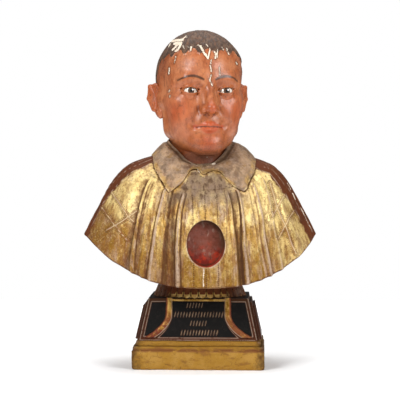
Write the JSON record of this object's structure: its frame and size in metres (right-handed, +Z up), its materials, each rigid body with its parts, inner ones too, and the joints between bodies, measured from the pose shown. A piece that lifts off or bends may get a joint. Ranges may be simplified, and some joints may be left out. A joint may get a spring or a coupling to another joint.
{
  "type": "reliquary bust",
  "caption": "Carved, painted and gilded wooden bust in a pleated cape, with an oval relic recess in the chest, standing on a sloping panelled plinth.",
  "frame": {"origin": "middle of the underside of the plinth's slab", "axes": "+Z up to the crown of the head, -Y out of the front of the plinth, +X to the right of someone facing the front"},
  "size_m": [0.4168, 0.258, 0.6003],
  "materials": {
    "gilt_wood": "worn water gilding over red bole",
    "painted_wood": "oil paint over gesso, chipped, with gilding on the cape",
    "glass": "polished, painted behind"
  },
  "bodies": {
    "root": {"plinth": "gilt_wood", "bust": "painted_wood", "left_eye": "glass", "right_eye": "glass"}
  },
  "joints": []
}
